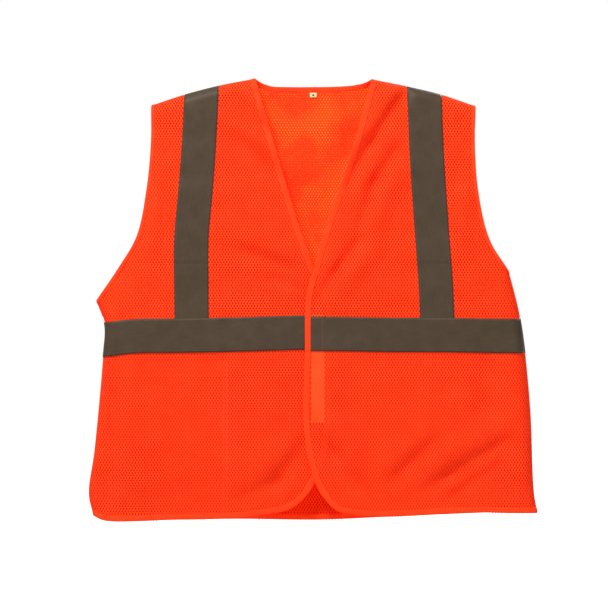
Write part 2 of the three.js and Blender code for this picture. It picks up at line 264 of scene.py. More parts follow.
def surface(layer, points):
    """Where points of the flat cut lie in space, in millimetres above the hem level."""
    points = np.asarray(points, float).reshape(-1, 2)
    x, z, share = points[:, 0].copy(), points[:, 1].copy(), np.ones(len(points))
    for half, mine in halves(layer, points[:, 0]):
        sign = SIGN[half]
        side = side_reach(half, points[mine, 1])
        turned = side + TURN - points[mine, 0] * sign
        angle = np.clip(turned / ROUND, 0, math.pi / 2)
        round_side = turned < ROUND * math.pi / 2
        reach = np.where(round_side, side - ROUND * (1 - np.cos(angle)), side + TURN - turned)
        top = shoulder_height(half, reach)
        fallen = top + TURN - points[mine, 1]
        tilt = np.clip(fallen / ROUND, 0, math.pi / 2)
        round_top = fallen < ROUND * math.pi / 2
        rise = np.where(round_top, top - ROUND * (1 - np.cos(tilt)), top + TURN - fallen)
        x[mine], z[mine] = sign * reach, rise
        share[mine] = np.sin(angle) * np.sin(tilt)
    y = OUTWARD[layer] * (LAYER * share + height_field(layer, x, z) * share**2)
    if layer == RIGHT:
        y = y + TUCK * np.maximum(x - fold_x(RIGHT, z), 0)
    return np.column_stack([x, y, z])


def offset_surface(layer, points, height):
    """The surface moved along its outward normal."""
    points = np.asarray(points, float).reshape(-1, 2)
    step = 0.4
    px = surface(layer, points + [step, 0]) - surface(layer, points - [step, 0])
    pz = surface(layer, points + [0, step]) - surface(layer, points - [0, step])
    normal = np.cross(px, pz) * (1 if OUTWARD[layer] < 0 else -1)
    length = np.linalg.norm(normal, axis=1)
    normal = np.where(length[:, None] > 1e-6, normal / np.maximum(length, 1e-6)[:, None], [0, 0, 1])
    return surface(layer, points) + normal * np.asarray(height, float).reshape(-1, 1)


# ---------------------------------------------------------------- making meshes
def to_metres(points):
    return (np.asarray(points) - [0, 0, HANG_HEIGHT]) * MM


def add_mesh(name, points, faces, uv, material, merge=False):
    """A mesh object from millimetre points. uv holds one (u, v) in centimetres for each point."""
    data = bpy.data.meshes.new(name)
    data.from_pydata(to_metres(points).tolist(), [], faces)
    layer = data.uv_layers.new(name="cloth")
    index = np.zeros(len(data.loops), np.int32)
    data.loops.foreach_get("vertex_index", index)
    layer.data.foreach_set("uv", (np.asarray(uv, float)[index] * 0.1).astype(np.float32).ravel())
    data.polygons.foreach_set("use_smooth", np.ones(len(data.polygons), bool))
    data.materials.append(material)
    if merge:
        made = bmesh.new()
        made.from_mesh(data)
        bmesh.ops.remove_doubles(made, verts=made.verts, dist=0.02 * MM)
        bmesh.ops.dissolve_degenerate(made, edges=made.edges, dist=0.005 * MM)
        bmesh.ops.recalc_face_normals(made, faces=made.faces)
        made.to_mesh(data)
        made.free()
    piece = bpy.data.objects.new(name, data)
    bpy.context.scene.collection.objects.link(piece)
    return piece


def inside(points, outline):
    found = np.zeros(len(points), bool)
    for a, b in zip(outline, np.roll(outline, -1, axis=0)):
        if a[1] == b[1]:
            continue
        crosses = (points[:, 1] >= min(a[1], b[1])) & (points[:, 1] < max(a[1], b[1]))
        at = a[0] + (points[:, 1] - a[1]) / (b[1] - a[1]) * (b[0] - a[0])
        found ^= crosses & (points[:, 0] < at)
    return found


def distance_to(points, path):
    nearest = np.full(len(points), 1e9)
    for a, b in zip(path[:-1], path[1:]):
        d = b - a
        t = np.clip((points - a) @ d / max(d @ d, 1e-9), 0, 1)
        nearest = np.minimum(nearest, np.linalg.norm(points - a - t[:, None] * d, axis=1))
    return nearest


def dimming(points, covers):
    """0 where painted light fills the holes, rising to 1 under a cover, away from its open edge."""
    dimmed = np.zeros(len(points))
    for cover, open_edge in covers:
        under = inside(points, cover)
        dimmed[under] = np.maximum(dimmed[under], distance_to(points[under], open_edge) / DIM_REACH)
    return np.clip(dimmed, 0, 1)


def perforated(name, layer, outline, bound, material, hole, covers=(), backed=(), depth=0.0,
               margin=2.2):
    """Mesh fabric over a flat cut: one rhombus of yarn round each hole. Edges in bound stay clear.
    Where one of the covers lies over it, a hole is closed by a sheet that stands in for shade: it
    gets painted shade, and painted light that fades out further from the cover's open edge: covers
    holds (outline, open edge). Where backed (outlines) by a strip of the same colour, a hole gets no
    painted shade or light."""
    low, high = outline.min(0), outline.max(0)
    unit = np.array([PITCH / 2, ROW])
    row, column = np.meshgrid(
        np.arange(math.floor(low[1] / unit[1]), math.ceil(high[1] / unit[1]) + 1),
        np.arange(math.floor(low[0] / unit[0]), math.ceil(high[0] / unit[0]) + 1),
        indexing="ij",
    )
    staggered = (row + column) % 2 == 0
    cell = np.column_stack([column[staggered], row[staggered]])
    centre = cell * unit
    kept = inside(centre, outline)
    for path in bound:
        kept[kept] = distance_to(centre[kept], path) > margin
    cell, centre = cell[kept], centre[kept]
    around = [cell + step for step in ([-1, 0], [0, 1], [1, 0], [0, -1])]
    corners, index = np.unique(np.vstack(around), axis=0, return_inverse=True)
    left, top, right, bottom = index.reshape(-1).reshape(4, -1)
    covered, shaded = np.zeros(len(cell), bool), np.ones(len(cell), bool)
    for cover, _ in covers:
        covered |= inside(centre, cover)
    for strip in backed:
        shaded &= ~inside(centre, strip)

    turn = np.radians([180, 122, 58, 0, -58, -122])
    rim = np.column_stack([np.cos(turn), np.sin(turn)]) * hole
    holes = (centre[~covered][:, None, :] + rim[None]).reshape(-1, 2)
    first = len(corners) + 6 * np.arange(np.count_nonzero(~covered))
    w, nw, ne, e, se, sw = (first + k for k in range(6))
    l, t, r, b = (side[~covered] for side in (left, top, right, bottom))
    rings = [(l, t, nw, w), (t, r, e, ne), (r, b, se, e), (b, l, w, sw), (t, ne, nw), (b, sw, se)]
    # Holes under a cover are closed by a sheet that takes painted shade.
    l, t, r, b = (side[covered] for side in (left, top, right, bottom))
    shade_web = len(corners) + len(holes) + np.arange(np.count_nonzero(covered))
    shade_webs = [(l, t, shade_web), (t, r, shade_web), (r, b, shade_web), (b, l, shade_web)]
    faces = [face for group in rings + shade_webs for face in np.column_stack(group).tolist()]
    flat = np.vstack([corners * unit, holes, centre[covered]])
    height = np.full(len(flat), depth - DIMPLE)
    height[: len(corners)] = depth
    piece = add_mesh(name, offset_surface(layer, flat, height), faces, flat, material)
    # rim: how much painted shade and painted light a point takes: 0 at the yarn's corners, 1 round an open
    # hole with no strip behind it, more in a closed hole's middle.
    on_rim, on_shade_web = np.repeat(shaded[~covered], 6), shaded[covered] * WEB_SHADE
    rims = np.concatenate([np.zeros(len(corners)), on_rim, on_shade_web])
    for attribute, value in (("rim", rims), ("covered", dimming(flat, covers))):
        data = piece.data.attributes.new(attribute, "FLOAT", "POINT").data
        data.foreach_set("value", value.astype(np.float32))
    return piece


def sideways(path, sign):
    """Unit vectors to the left (sign 1) or right (sign -1) of a path's direction."""
    along = np.gradient(path, axis=0)
    along /= np.maximum(np.linalg.norm(along, axis=1), 1e-9)[:, None]
    return sign * np.column_stack([-along[:, 1], along[:, 0]])


def path_length(path):
    return np.concatenate([[0], np.cumsum(np.linalg.norm(np.diff(path, axis=0), axis=1))])


def sweep(name, layer, path, sign, profile, material, pucker=0.0, limit=None):
    """A closed section of (across, height) points carried along a path on the flat cut."""
    section = np.array(profile, float)
    n, m = len(path), len(section)
    side = sideways(path, sign)
    flat = path[:, None, :] + side[:, None, :] * section[None, :, 0, None]
    if limit is not None:
        flat = limit(flat.reshape(-1, 2)).reshape(n, m, 2)
    length = path_length(path)
    swell = 1 + pucker * np.sin(length * 2 * math.pi / 3.3)[:, None] * np.sin(length / 9)[:, None] ** 2
    height = section[None, :, 1] * swell
    points = offset_surface(layer, flat.reshape(-1, 2), height.reshape(-1))
    faces = [
        (i * m + j, i * m + (j + 1) % m, (i + 1) * m + (j + 1) % m, (i + 1) * m + j)
        for i in range(n - 1)
        for j in range(m)
    ]
    faces += [tuple(range(m))[::-1], tuple((n - 1) * m + j for j in range(m))]
    uv = np.column_stack([np.repeat(length, m), np.tile(section[:, 0], n)])
    return add_mesh(name, points, faces, uv, material, merge=True)


def flat_section(from_across, to_across, low, high, steps):
    """A thin rectangle with its two long sides divided, so that it follows the cloth."""
    across = np.linspace(from_across, to_across, steps + 1)
    top = [(a, high) for a in across]
    return top + [(a, low) for a in across[::-1]]


def binding_section(width):
    """A folded binding: it wraps the edge at 0 and ends in two flat hems at its width."""
    upper = [(0.0, 0.35), (0.25, 0.8), (0.9, 1.15), (width * 0.4, 1.3), (width - 2.2, 1.15),
             (width - 1.5, 0.92), (width - 0.8, 1.1), (width - 0.15, 0.85), (width, 0.45)]
    return upper + [(a, -h) for a, h in upper[::-1]]


def stitches(name, rows, material, thread=0.42, stitch=2.7, space=0.75):
    """Sewn stitches: short threads that rise out of the cloth and go back into it.
    rows holds (layer, path on the flat cut, height above the cloth)."""
    points, faces, uv = [], [], []
    ring = np.radians(np.arange(6) * 60)
    stations = np.array([(0.0, -0.3, 0.55), (0.2, 0.28, 1.0), (0.8, 0.28, 1.0), (1.0, -0.3, 0.55)])
    for layer, path, height in rows:
        length = path_length(path)
        starts = np.arange(space, length[-1] - stitch, stitch + space)
        if not len(starts):
            continue
        at = starts[:, None] + stations[None, :, 0] * stitch
        flat = np.column_stack([np.interp(at.ravel(), length, path[:, k]) for k in (0, 1)])
        lift = height + np.tile(stations[:, 1] * thread, len(starts))
        centre = offset_surface(layer, flat, lift)
        up = offset_surface(layer, flat, lift + 1) - centre
        direction = centre.reshape(-1, 4, 3)[:, 3] - centre.reshape(-1, 4, 3)[:, 0]
        direction /= np.maximum(np.linalg.norm(direction, axis=1), 1e-9)[:, None]
        across = np.cross(np.repeat(direction, 4, axis=0), up)
        across /= np.maximum(np.linalg.norm(across, axis=1), 1e-9)[:, None]
        radius = thread * 0.5 * np.tile(stations[:, 2], len(starts))
        circle = (
            across[:, None] * np.cos(ring)[None, :, None] + up[:, None] * np.sin(ring)[None, :, None]
        ) * radius[:, None, None]
        base = sum(len(p) for p in points)
        points.append((centre[:, None] + circle).reshape(-1, 3))
        uv.append(np.repeat(flat, 6, axis=0))
        for s in range(len(starts)):
            first = base + s * 24
            for k in range(3):
                a = first + 6 * k
                faces += [(a + j, a + (j + 1) % 6, a + 6 + (j + 1) % 6, a + 6 + j) for j in range(6)]
            faces += [tuple(first + j for j in range(6))[::-1], tuple(first + 18 + j for j in range(6))]
    return add_mesh(name, np.vstack(points), faces, np.vstack(uv), material)


def inward_path(path, sign, distance):
    return path + sideways(path, sign) * distance


def seam(name, line, outward_sign, material, under_tape):
    """The joined edges of the front and back panels, turned in: a narrow ridge round the seam.
    It is pressed down where a tape crosses it."""
    side = sideways(line, outward_sign)
    angles = np.linspace(-0.3, 0.3, 9)
    section = [(a, 0.85 - 0.5 * abs(a) / 0.3) for a in angles] + [(a, -0.5) for a in angles[::-1]]
    points, uv = [], []
    length = path_length(line)
    for (x, z), (dx, dz), s, pressed in zip(line, side, length, under_tape):
        for angle, height in section:
            drop = ROUND * (1 - math.cos(angle)) - height + pressed
            points.append((x - dx * drop, LAYER * math.sin(angle), z - dz * drop))
            uv.append((s, LAYER * angle))
    n, m = len(line), len(section)
    faces = [
        (i * m + j, i * m + (j + 1) % m, (i + 1) * m + (j + 1) % m, (i + 1) * m + j)
        for i in range(n - 1)
        for j in range(m)
    ]
    faces += [tuple(range(m))[::-1], tuple((n - 1) * m + j for j in range(m))]
    return add_mesh(name, points, faces, uv, material, merge=True)


# ---------------------------------------------------------------- materials
PAINTED_RED_GLOW = (1.0, 0.010, 0.0)  # painted glow: a red emission that keeps the cloth's shades red, for the fluorescent dye's look


class Nodes:
    """Short names for building one material's node tree."""

    def __init__(self, name):
        self.material = bpy.data.materials.new(name)
        self.material.use_nodes = True
        self.tree = self.material.node_tree
        self.shader = self.tree.nodes["Principled BSDF"]
        self.uv = self.add("ShaderNodeUVMap", uv_map="cloth").outputs["UV"]

    def add(self, kind, inputs=None, **settings):
        node = self.tree.nodes.new(kind)
        for key, value in settings.items():
            setattr(node, key, value)
        for key, value in (inputs or {}).items():
            self.put(node.inputs[key], value)
        return node

    def put(self, socket, value):
        if isinstance(value, bpy.types.NodeSocket):
            self.tree.links.new(value, socket)
        else:
            socket.default_value = value

    def set(self, **values):
        for key, value in values.items():
            self.put(self.shader.inputs[key.replace("_", " ")], value)

    def noise(self, scale, detail=3.0, stretch=(1, 1, 1)):
        moved = self.add("ShaderNodeMapping", {"Vector": self.uv, "Scale": stretch})
        inputs = {"Vector": moved.outputs[0], "Scale": scale, "Detail": detail}
        return self.add("ShaderNodeTexNoise", inputs).outputs["Fac"]

    def wave(self, scale, direction, distortion=1.0):
        inputs = {"Vector": self.uv, "Scale": scale, "Distortion": distortion, "Detail": 1.0,
                  "Detail Scale": 2.0}
        return self.add("ShaderNodeTexWave", inputs, bands_direction=direction).outputs["Fac"]

    def ramp(self, factor, stops):
        node = self.add("ShaderNodeValToRGB", {"Fac": factor})
        elements = node.color_ramp.elements
        while len(elements) < len(stops):
            elements.new(0.5)
        for element, (position, colour) in zip(elements, stops):
            element.position = position
            element.color = (*colour, 1)
        return node.outputs["Color"]

    def math(self, operation, a, b):
        return self.add("ShaderNodeMath", {0: a, 1: b}, operation=operation).outputs[0]

    def spread(self, attribute, low, high):
        """A mesh attribute, stretched so that low becomes 0 and high becomes 1."""
        share = self.add("ShaderNodeAttribute", attribute_name=attribute).outputs["Fac"]
        return self.stretched(share, low, high)

    def stretched(self, value, low, high):
        inputs = {"Value": value, "From Min": low, "From Max": high}
        return self.add("ShaderNodeMapRange", inputs).outputs[0]

    def blend(self, share, first, second):
        node = self.add("ShaderNodeMix", data_type="RGBA")
        for socket, value in zip((0, 6, 7), (share, first, second)):
            self.put(node.inputs[socket], value)
        return node.outputs[2]

    def bumped(self, height, strength, distance):
        node = self.add("ShaderNodeBump", {"Height": height, "Strength": strength, "Distance": distance})
        self.set(Normal=node.outputs[0])


def orange_cloth(name, light, dark, painted_glow, wale, rough=0.8, bump_strength=0.5, rim=None):
    """Fluorescent polyester: knitted loops, cloudy colour, soft sheen and a little painted glow, a red
    emission that keeps its shades red.
    A mesh has a rim value: how strongly painted light fills its holes where nothing lies in front of them;
    their rims also get painted shade."""
    n = Nodes(name)
    cloudy = n.noise(0.35, 4.0)
    yarn = n.noise(14.0, 2.0, (1, 0.45, 1))
    mixed = n.math("ADD", n.math("MULTIPLY", cloudy, 0.6), n.math("MULTIPLY", yarn, 0.4))
    colour = n.ramp(mixed, [(0.32, dark), (0.66, light)])
    if rim:
        # Painted shade: the holes' rims are darkened, as if the cloth behind them were in shade.
        colour = n.blend(n.spread("rim", 0.12, 0.8), colour, (*PAINTED_RIM_SHADE, 1))
        # Painted light: holes with nothing in front of them are lit in patches, fading out under a cover.
        patches = n.stretched(n.noise(0.16, 3.0), 0.44, 0.56)
        open_share = n.math("SUBTRACT", 1.0, n.spread("covered", 0, 1))
        lit = n.math("MULTIPLY", n.spread("rim", 0.45, 0.95), open_share)
        lit = n.math("MULTIPLY", lit, n.math("ADD", n.math("MULTIPLY", patches, 0.8), 0.2))
        colour = n.blend(n.math("MULTIPLY", lit, rim), colour, (*PAINTED_RIM_LIGHT, 1))
    loops = n.math("MULTIPLY", n.wave(wale, "X", 0.6), n.wave(wale * 0.8, "Y", 0.8))
    n.bumped(n.math("ADD", loops, n.math("MULTIPLY", yarn, 0.5)), bump_strength, 0.00025)
    n.set(Base_Color=colour, Roughness=rough, Sheen_Weight=0.08, Sheen_Roughness=0.5,
          Sheen_Tint=(1.0, 0.35, 0.15, 1), Specular_IOR_Level=0.05,
          Emission_Color=(*PAINTED_RED_GLOW, 1), Emission_Strength=painted_glow)
    return n.material


def reflective_material():
    """Retroreflective tape: a fine bed of glass beads on a grey-brown cloth."""
    n = Nodes("reflective_tape")
    beads = n.add("ShaderNodeTexVoronoi", {"Vector": n.uv, "Scale": 38.0}).outputs["Distance"]
    streaks = n.noise(3.0, 5.0, (0.25, 2.0, 1))
    patchy = n.noise(0.5, 3.0)
    mixed = n.math("ADD", n.math("MULTIPLY", streaks, 0.45), n.math("MULTIPLY", patchy, 0.55))
    colour = n.ramp(mixed, [(0.3, (0.055, 0.038, 0.024)), (0.7, (0.074, 0.053, 0.034))])
    rough = n.math("ADD", n.math("MULTIPLY", streaks, 0.2), 0.4)
    n.bumped(n.math("ADD", beads, n.math("MULTIPLY", streaks, 0.8)), 0.35, 0.0001)
    n.set(Base_Color=colour, Roughness=rough, Specular_IOR_Level=0.1,
          Sheen_Weight=0.02, Sheen_Roughness=0.35, Sheen_Tint=(0.75, 0.85, 0.7, 1))
    return n.material


def thread_material(name, light, dark, painted_glow=0.0):
    n = Nodes(name)
    twist = n.noise(9.0, 2.0, (3, 1, 1))
    colour = n.ramp(twist, [(0.35, dark), (0.65, light)])
    n.bumped(twist, 0.4, 0.0001)
    # The emission paints a glow in the thread's own colour.
    n.set(Base_Color=colour, Roughness=0.55, Sheen_Weight=0.15, Specular_IOR_Level=0.3,
          Emission_Color=colour, Emission_Strength=painted_glow)
    return n.material


def closure_material(name, scale, light, dark):
    """Hook or loop tape: a dense pile on a woven ground."""
    n = Nodes(name)
    pile = n.add("ShaderNodeTexVoronoi", {"Vector": n.uv, "Scale": scale}).outputs["Distance"]
    fuzz = n.noise(20.0, 4.0)
    colour = n.ramp(n.math("ADD", n.math("MULTIPLY", pile, 0.5), n.math("MULTIPLY", fuzz, 0.5)),
                    [(0.25, dark), (0.6, light)])
    n.bumped(n.math("ADD", pile, fuzz), 0.8, 0.0006)
    # The red emission is a painted glow that keeps the pile's shades red.
    n.set(Base_Color=colour, Roughness=0.9, Sheen_Weight=0.1, Sheen_Roughness=0.4,
          Sheen_Tint=(1.0, 0.35, 0.15, 1), Specular_IOR_Level=0.06,
          Emission_Color=(*PAINTED_RED_GLOW, 1), Emission_Strength=0.15)
    return n.material


def label_material():
    n = Nodes("label_cloth")
    weave = n.math("MULTIPLY", n.wave(9.0, "X", 0.2), n.wave(9.0, "Y", 0.2))
    colour = n.ramp(weave, [(0.2, (0.66, 0.56, 0.3)), (0.8, (0.86, 0.78, 0.5))])
    n.bumped(weave, 0.5, 0.0001)
    n.set(Base_Color=colour, Roughness=0.7, Specular_IOR_Level=0.25)
    return n.material


PAINTED_RIM_SHADE = (0.6, 0.005, 0.001)  # painted shade: colour inside a hole that has cloth behind it
PAINTED_RIM_LIGHT = (1.0, 0.25, 0.014)  # painted light: colour inside a hole that nothing lies in front of, as if light came through it
# The fourth argument of a cloth or thread is the strength of its painted glow.
MESH = orange_cloth("mesh_cloth", (1.0, 0.094, 0.020), (0.95, 0.068, 0.012), 0.2, 7.0, rim=0.01)
# A darker copy of the mesh cloth for the back: painted shade, as the back is seen in the shade behind the
# fronts.
SHADED_BACK_MESH = orange_cloth("shaded_back_mesh_cloth", (1.0, 0.056, 0.006), (0.95, 0.042, 0.004), 0.2, 7.0, rim=1.0)
BAND = orange_cloth("binding_cloth", (0.98, 0.056, 0.011), (0.93, 0.044, 0.007), 0.2, 5.0, 0.75, 0.6)
TAPE = reflective_material()
THREAD = thread_material("orange_thread", (0.95, 0.075, 0.018), (0.85, 0.045, 0.009), 0.08)
TAPE_THREAD = thread_material("tape_thread", (0.095, 0.085, 0.066), (0.05, 0.043, 0.032))
BOX_THREAD = thread_material("box_thread", (0.32, 0.075, 0.030), (0.20, 0.05, 0.022))
HOOKS = closure_material("hook_pile", 12.0, (0.98, 0.075, 0.016), (0.85, 0.045, 0.008))
LOOPS = closure_material("loop_pile", 7.0, (0.98, 0.085, 0.020), (0.88, 0.050, 0.010))
LABEL = label_material()
INK = thread_material("label_mark", (0.03, 0.03, 0.035), (0.012, 0.012, 0.015))


# ---------------------------------------------------------------- camera, light and floor
VIEW_CENTRE = (-14.0, 322.0)  # x and height above the hem level in the middle of the view
VIEW_WIDTH = 0.8998
CAMERA_DISTANCE = 5.0

camera = bpy.data.objects.new("camera", bpy.data.cameras.new("camera"))
bpy.context.scene.collection.objects.link(camera)
camera.data.lens = camera.data.sensor_width * CAMERA_DISTANCE / VIEW_WIDTH
camera.location = (VIEW_CENTRE[0] * MM, -CAMERA_DISTANCE - LAYER * MM,
                   (VIEW_CENTRE[1] - HANG_HEIGHT) * MM)
camera.rotation_euler = (math.pi / 2, 0, 0)
bpy.context.scene.camera = camera
bpy.context.scene.view_settings.view_transform = "Standard"


def soft_light(name, location, target, size, power):
    data = bpy.data.lights.new(name, "AREA")
    data.size = size
    data.energy = power
    lamp = bpy.data.objects.new(name, data)
    lamp.location = location
    lamp.rotation_euler = (Vector(target) - Vector(location)).to_track_quat("-Z", "Y").to_euler()
    bpy.context.scene.collection.objects.link(lamp)


soft_light("key", (-0.9, -1.9, 2.1), (0, 0, -0.3), 0.7, 128)
soft_light("fill", (2.2, -2.4, 0.2), (0, 0, -0.35), 1.8, 4)
soft_light("back_light", (1.4, 2.2, 1.5), (0, 0, -0.3), 1.2, 60)

AMBIENT = 0.34  # strength of the light that comes from all round
world = bpy.data.worlds.new("studio")
bpy.context.scene.world = world
world.use_nodes = True
sky = world.node_tree.nodes["Background"]
sky.inputs["Color"].default_value = (1, 1, 1, 1)
seen = world.node_tree.nodes.new("ShaderNodeLightPath").outputs["Is Camera Ray"]
level = world.node_tree.nodes.new("ShaderNodeMath")
level.operation = "MULTIPLY_ADD"  # white where the camera sees it, softer as light on the vest
level.inputs[1].default_value = 1.0 - AMBIENT
level.inputs[2].default_value = AMBIENT
world.node_tree.links.new(seen, level.inputs[0])
world.node_tree.links.new(level.outputs[0], sky.inputs["Strength"])

FLOOR_DROP = 45.0  # the floor lies this far under the hem of the hanging vest
bpy.ops.mesh.primitive_circle_add(vertices=96, radius=9, fill_type="NGON",
                                  location=(0, 0, (-FLOOR_DROP - HANG_HEIGHT) * MM))
floor = bpy.context.object
floor.name = "floor"
floor_nodes = Nodes("floor_paint")
paper = floor_nodes.math("MULTIPLY", floor_nodes.add("ShaderNodeLightPath").outputs["Is Camera Ray"], 0.8)
floor_nodes.set(Base_Color=(0.6, 0.6, 0.6, 1), Roughness=0.9, Specular_IOR_Level=0.1,
                Emission_Color=(1, 1, 1, 1), Emission_Strength=paper)
floor.data.materials.append(floor_nodes.material)


# ---------------------------------------------------------------- the pieces
pieces = {}
SIDE_NAME = {LEFT: "left", RIGHT: "right"}


def keep(piece, *nodes, slot):
    """Registers a piece by its name and hides the CAD nodes it stands for. slot is not used."""
    pieces[piece.name] = piece
    if nodes:
        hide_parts(*nodes)
    return piece


def bend(piece, layer):
    """Bakes the piece's transform into its mesh. It works out the fold line between the side of a front and
    its flap but does not bend the piece.
    """
    (top_x, top_z), (hem_x, hem_z) = NECK[layer], FOLD_HEM[layer]
    along = np.array([hem_x - top_x, hem_z - top_z], float)
    along /= np.linalg.norm(along)
    across = np.array([-along[1], along[0]])  # towards +x for a line that runs down
    if across[0] * SIGN[layer] < 0:
        across = -across
    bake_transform(piece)


def flat_path(layer, points, step=2.5):
    return resample(pattern(layer, smooth(points)), step)


def seam_limit(layer):
    """Keeps tape ends on their own side of the shoulder and side seams."""

    def limit(points):
        out = points.copy()
        for half, mine in halves(layer, points[:, 0]):
            sign = SIGN[half]
            side = side_reach(half, points[mine, 1]) + TURN
            reach = np.minimum(points[mine, 0] * sign, side)
            out[mine, 0] = sign * reach
            top = shoulder_height(half, np.minimum(reach, side - TURN)) + TURN
            out[mine, 1] = np.minimum(points[mine, 1], top)
        return out

    return limit


def extend(path, before=0.0, after=0.0):
    """Lengthens a path straight on at its ends."""
    first = path[0] + (path[0] - path[1]) / max(np.linalg.norm(path[0] - path[1]), 1e-9) * before
    last = path[-1] + (path[-1] - path[-2]) / max(np.linalg.norm(path[-1] - path[-2]), 1e-9) * after
    return np.vstack(([first] if before else []) + [path] + ([last] if after else []))


EDGE_STITCH = 2.6  # tape stitching lies this far inside the tape's edge
TAPE_TOP, WAIST_TOP = 0.85, 1.4  # outer faces of the shoulder tapes and the waist tape over them
TAPE_SECTION = flat_section(-TAPE_WIDTH / 2, TAPE_WIDTH / 2, 0.35, TAPE_TOP, 14)
OVER_SECTION = flat_section(-TAPE_WIDTH / 2, TAPE_WIDTH / 2, 0.9, WAIST_TOP, 14)
TO_SIDE_SEAM, TO_SHOULDER_SEAM = 14, 22  # what a tape's centre line lacks to reach its seam
BINDING_WIDTH = {"edge": 8.6, "armhole": 5.2, "neck": 6.6, "hem": 8.0}
BINDING_STITCH = 1.5  # a binding is sewn down this far from its inner edge
SEWN_HEIGHT = 0.95  # and its stitches lie this high
PRESSED = 1.2  # a seam's ridge is this much lower where a tape crosses it


def tape_rows(layer, path, height):
    limit = seam_limit(layer)
    return [
        (layer, limit(inward_path(path, 1, side * (TAPE_WIDTH / 2 - EDGE_STITCH))), height)
        for side in (-1, 1)
    ]


def rectangle(left, bottom, right, top):
    return np.array([(left, bottom), (right, bottom), (right, top), (left, top)], float)


def strip_outline(node):
    low, high = node_box(node)
    return rectangle(low.x - 1, low.z - 1, high.x + 1, high.z + 1)


V_BOTTOM = 370  # the V opening between the fronts is all above this height
HEM_GAP = rectangle(-200, -10, 200, 150)  # round the gap between the fronts' rounded corners; the back's holes there are closed and get painted shade


def neck_edge(layer):
    """The part of the front edge that borders the V."""
    edge = flat_path(layer, FRONT_EDGE[layer])
    return edge[edge[:, 1] > V_BOTTOM]


def front_outline(layer):
    lines = FRONT_EDGE[layer] + HEM[layer][1:], SIDE[layer], ARMHOLE[layer], SHOULDER[layer]
    return np.vstack([flat_path(layer, line) for line in lines])


def front(layer):
    side = SIDE_NAME[layer]
    inward = SIGN[layer]
    armhole = flat_path(layer, ARMHOLE[layer])
    edge = flat_path(layer, FRONT_EDGE[layer] + HEM[layer][1:])
    outline = front_outline(layer)
    panel = perforated(f"{side}_front_mesh", layer, outline, [edge, armhole], MESH, FRONT_HOLE,
                       backed=[strip_outline("hook_strip")] if layer == LEFT else [])
    keep(panel, f"{side}_front_side", f"{side}_front_flap", slot="mesh_fabric")
    bend(panel, layer)

    width = BINDING_WIDTH["edge"]
    binding = sweep(f"{side}_front_edge_binding", layer, edge, inward, binding_section(width), BAND, 0.12)
    keep(binding, f"{side}_front_binding", f"{side}_hem_binding", slot="binding")
    bend(binding, layer)
    rows = [(layer, inward_path(edge, inward, width - BINDING_STITCH), SEWN_HEIGHT)]

    waist = flat_path(layer, WAIST[layer])
    waist = extend(waist, after=TO_SIDE_SEAM)
    waist_tape = sweep(f"{side}_front_waist_tape", layer, waist, 1, OVER_SECTION, TAPE,
                       limit=seam_limit(layer))
    keep(waist_tape, f"{side}_waist_tape", f"{side}_flap_waist_tape", slot="reflective_tape")
    bend(waist_tape, layer)
    waist_thread = stitches(f"{side}_front_waist_thread", tape_rows(layer, waist, WAIST_TOP), TAPE_THREAD)
    keep(waist_thread, slot="reflective_tape")
    bend(waist_thread, layer)

    shoulder = extend(flat_path(layer, SHOULDER_TAPE[layer]), before=TO_SHOULDER_SEAM)
    shoulder_tape = sweep(f"{side}_shoulder_tape", layer, shoulder, 1, TAPE_SECTION, TAPE,
                          limit=seam_limit(layer))
    keep(shoulder_tape, f"{side}_shoulder_tape_front", slot="reflective_tape")
    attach(shoulder_tape, "root")
    shoulder_rows = tape_rows(layer, shoulder, TAPE_TOP)
    shoulder_thread = stitches(f"{side}_shoulder_thread", shoulder_rows, TAPE_THREAD)
    keep(shoulder_thread, slot="reflective_tape")
    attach(shoulder_thread, "root")

    edge_thread = stitches(f"{side}_front_edge_thread", rows, THREAD)
    keep(edge_thread, slot="binding")
    bend(edge_thread, layer)

    arm_width = BINDING_WIDTH["armhole"]
    arm = sweep(f"{side}_armhole_front", layer, armhole, inward, binding_section(arm_width), BAND, 0.1)
    keep(arm, f"{side}_armhole_binding_front", slot="binding")
    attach(arm, "root")
    arm_row = inward_path(armhole, inward, arm_width - BINDING_STITCH)
    arm_thread = stitches(f"{side}_armhole_front_thread", [(layer, arm_row, SEWN_HEIGHT)], THREAD)
    keep(arm_thread, slot="binding")
    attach(arm_thread, "root")
    return panel, [binding, waist_tape, waist_thread, shoulder_tape, shoulder_thread, edge_thread, arm,
                   arm_thread]


